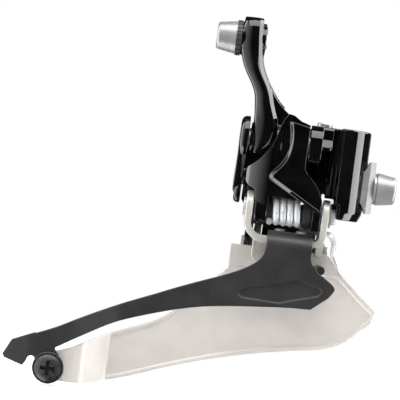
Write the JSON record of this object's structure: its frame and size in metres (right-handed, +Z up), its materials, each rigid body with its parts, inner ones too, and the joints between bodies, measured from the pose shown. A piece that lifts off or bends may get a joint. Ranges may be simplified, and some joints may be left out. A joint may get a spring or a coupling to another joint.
{
  "type": "front derailleur",
  "caption": "Braze-on front derailleur with a parallelogram linkage, a return spring, a cable clamp arm and a chain cage with a long tail.",
  "frame": {"origin": "where the mounting bolt's axis meets the convex mounting pad", "axes": "+X forward along the pivot pins and the mounting bolt, +Z up along the seat tube, -Y outboard"},
  "size_m": [0.0951, 0.0309, 0.1002],
  "materials": {
    "gloss_black": "glossy black paint",
    "outer_plate_grey": "satin charcoal coating",
    "pearl_silver": "fine bead-blasted pearl silver",
    "yoke_silver": "satin silver",
    "bolt_steel": "satin stainless",
    "washer_steel": "tumbled steel",
    "spring_steel": "bright drawn wire",
    "pin_steel": "ground steel",
    "dark_steel": "dark zinc",
    "black_screw": "black oxide",
    "black_polymer": "moulded nylon",
    "bush_polymer": "self-lubricating polymer"
  },
  "bodies": {
    "fixed_body": {"main_body": "gloss_black", "mounting_bolt": "bolt_steel", "mounting_washer": "washer_steel", "bolt_collar": "bolt_steel", "limit_screw_inserts": "black_polymer", "outer_upper_pin": "pin_steel", "inner_upper_pin": "pin_steel"},
    "low_screw": {"low_limit_screw": "bolt_steel"},
    "high_screw": {"high_limit_screw": "bolt_steel"},
    "outer_arm": {"outer_link": "gloss_black", "link_upper_bush": "bush_polymer", "link_lower_bushes": "bush_polymer", "spring_sleeve": "black_polymer", "cable_arm": "gloss_black", "arm_bush": "bush_polymer", "cable_bolt": "bolt_steel", "cable_washer": "dark_steel"},
    "inner_arm": {"inner_link": "gloss_black", "inner_upper_bushes": "bush_polymer", "inner_lower_bushes": "bush_polymer"},
    "cage": {"cage_bracket": "yoke_silver", "cage_inner_plate": "pearl_silver", "cage_outer_plate": "outer_plate_grey", "inner_plate_rivets": "pin_steel", "outer_plate_rivets": "pin_steel", "front_spacer": "black_polymer", "tail_screw": "black_screw", "tail_nut": "dark_steel", "outer_lower_pin": "pin_steel", "inner_lower_pin": "pin_steel", "pin_washers": "washer_steel", "return_spring": "spring_steel"}
  },
  "joints": [
    {"name": "link_swing", "type": "hinge", "parent": "fixed_body", "child": "outer_arm", "pos_m": [-0.027, -0.009, 0.0088], "axis": [-1, 0, 0], "range_deg": [0, 35], "stiffness_Nm_per_rad": 0.3, "springref_deg": -45.84},
    {"name": "inner_swing", "type": "hinge", "parent": "fixed_body", "child": "inner_arm", "pos_m": [-0.023, 0.0063, -0.0012], "axis": [-1, 0, 0], "range_deg": [0, 35]},
    {"name": "cage_level", "type": "hinge", "parent": "outer_arm", "child": "cage", "pos_m": [-0.019, -0.0043, -0.0087], "axis": [-1, 0, 0], "range_deg": [-35, 0], "deforming": ["return_spring"]},
    {"name": "low_limit_screw_turn", "type": "hinge", "parent": "fixed_body", "child": "low_screw", "pos_m": [-0.0123, 0.0006, 0.012], "axis": [0, 0, 1], "range_deg": [-180, 180]},
    {"name": "high_limit_screw_turn", "type": "hinge", "parent": "fixed_body", "child": "high_screw", "pos_m": [-0.0206, 0.003, 0.01], "axis": [0, 0, 1], "range_deg": [-180, 180]}
  ],
  "couplings": [
    {"joint": "inner_swing", "follows": "link_swing", "ratio": 1},
    {"joint": "cage_level", "follows": "link_swing", "ratio": -1}
  ]
}
